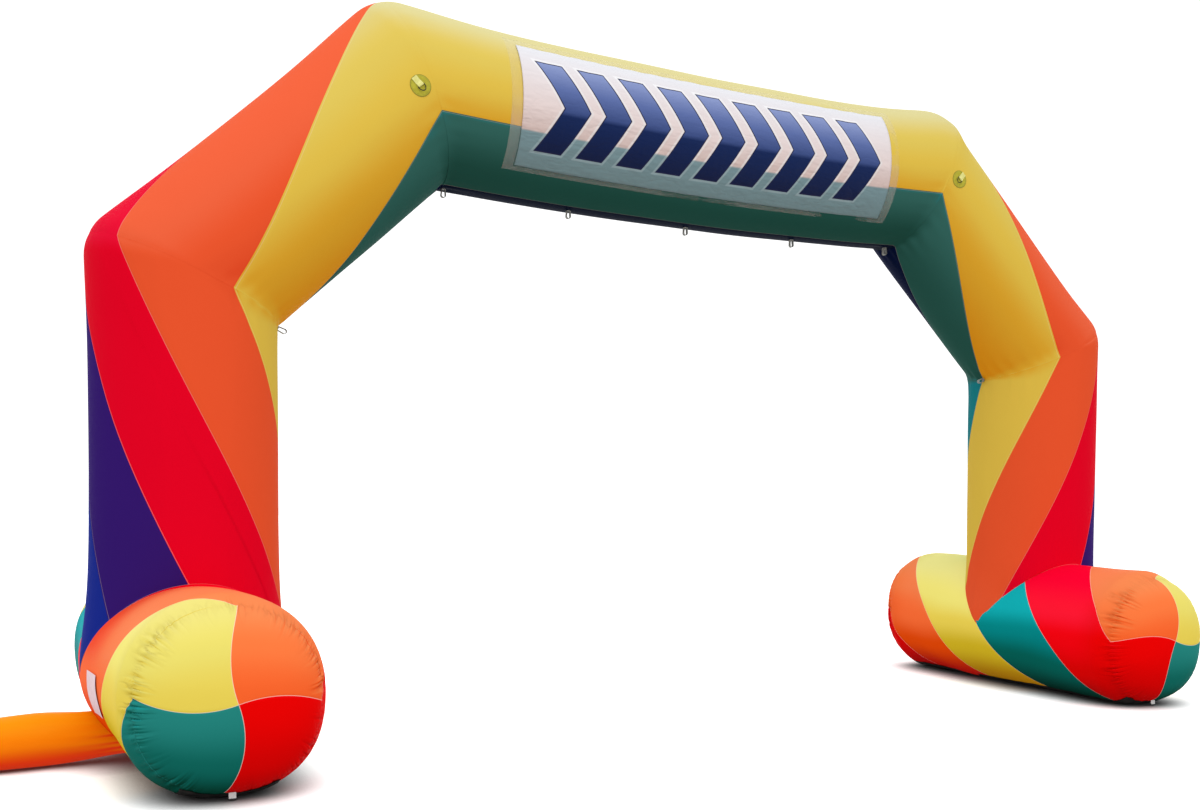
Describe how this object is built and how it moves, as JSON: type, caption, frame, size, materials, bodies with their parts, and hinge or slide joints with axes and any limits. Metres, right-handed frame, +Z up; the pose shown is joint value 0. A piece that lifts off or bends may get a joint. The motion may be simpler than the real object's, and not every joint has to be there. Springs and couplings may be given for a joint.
{
  "type": "inflatable arch",
  "caption": "Walk-through arch of fat air-filled cloth tubes with slanted shoulders, standing on lying foot tubes, with a bare banner pocket and an open air sleeve.",
  "frame": {"origin": "centre of the whole box at floor level; the arch's own middle is 0.228 m to +X of it, because the air sleeve stands out to -X", "axes": "+X along the arch's width, -Y towards its front with the banner, +Z up"},
  "size_m": [8.069, 3.1596, 4.4119],
  "materials": {
    "tube_cloth": "satin coated nylon in rainbow bands",
    "foot_cloth": "satin coated nylon in twisted bands",
    "end_cloth": "satin coated nylon, gathered at the seam",
    "base_cloth": "matt coated wear cloth",
    "banner_cloth": "printed translucent cloth",
    "pocket_film": "thin translucent film",
    "patch_cloth": "welded coated cloth",
    "strap_webbing": "woven webbing",
    "loop_webbing": "woven webbing",
    "ring_plastic": "smooth black plastic",
    "label_cloth": "woven label tape, bare",
    "sleeve_cloth": "thin ripstop cloth"
  },
  "bodies": {
    "root": {"leg_left": "tube_cloth", "leg_right": "tube_cloth", "shoulder_left": "tube_cloth", "shoulder_right": "tube_cloth", "beam": "tube_cloth", "foot_left": "foot_cloth", "foot_right": "foot_cloth", "end_front_left": "end_cloth", "end_front_right": "end_cloth", "end_back_left": "end_cloth", "end_back_right": "end_cloth", "base_left": "base_cloth", "base_right": "base_cloth", "anchor_tab_left": "loop_webbing", "anchor_tab_right": "loop_webbing", "anchor_ring_left": "ring_plastic", "anchor_ring_right": "ring_plastic", "patch_left": "patch_cloth", "patch_right": "patch_cloth", "strap_left": "strap_webbing", "strap_right": "strap_webbing", "ring_left": "ring_plastic", "ring_right": "ring_plastic", "air_sleeve": "sleeve_cloth", "label": "label_cloth", "banner_pocket": "pocket_film", "banner": "banner_cloth", "loop_beam_1": "loop_webbing", "loop_beam_2": "loop_webbing", "loop_beam_3": "loop_webbing", "loop_shoulder_left": "loop_webbing", "loop_shoulder_right": "loop_webbing", "loop_elbow_left": "loop_webbing", "loop_elbow_right": "loop_webbing"}
  },
  "joints": []
}
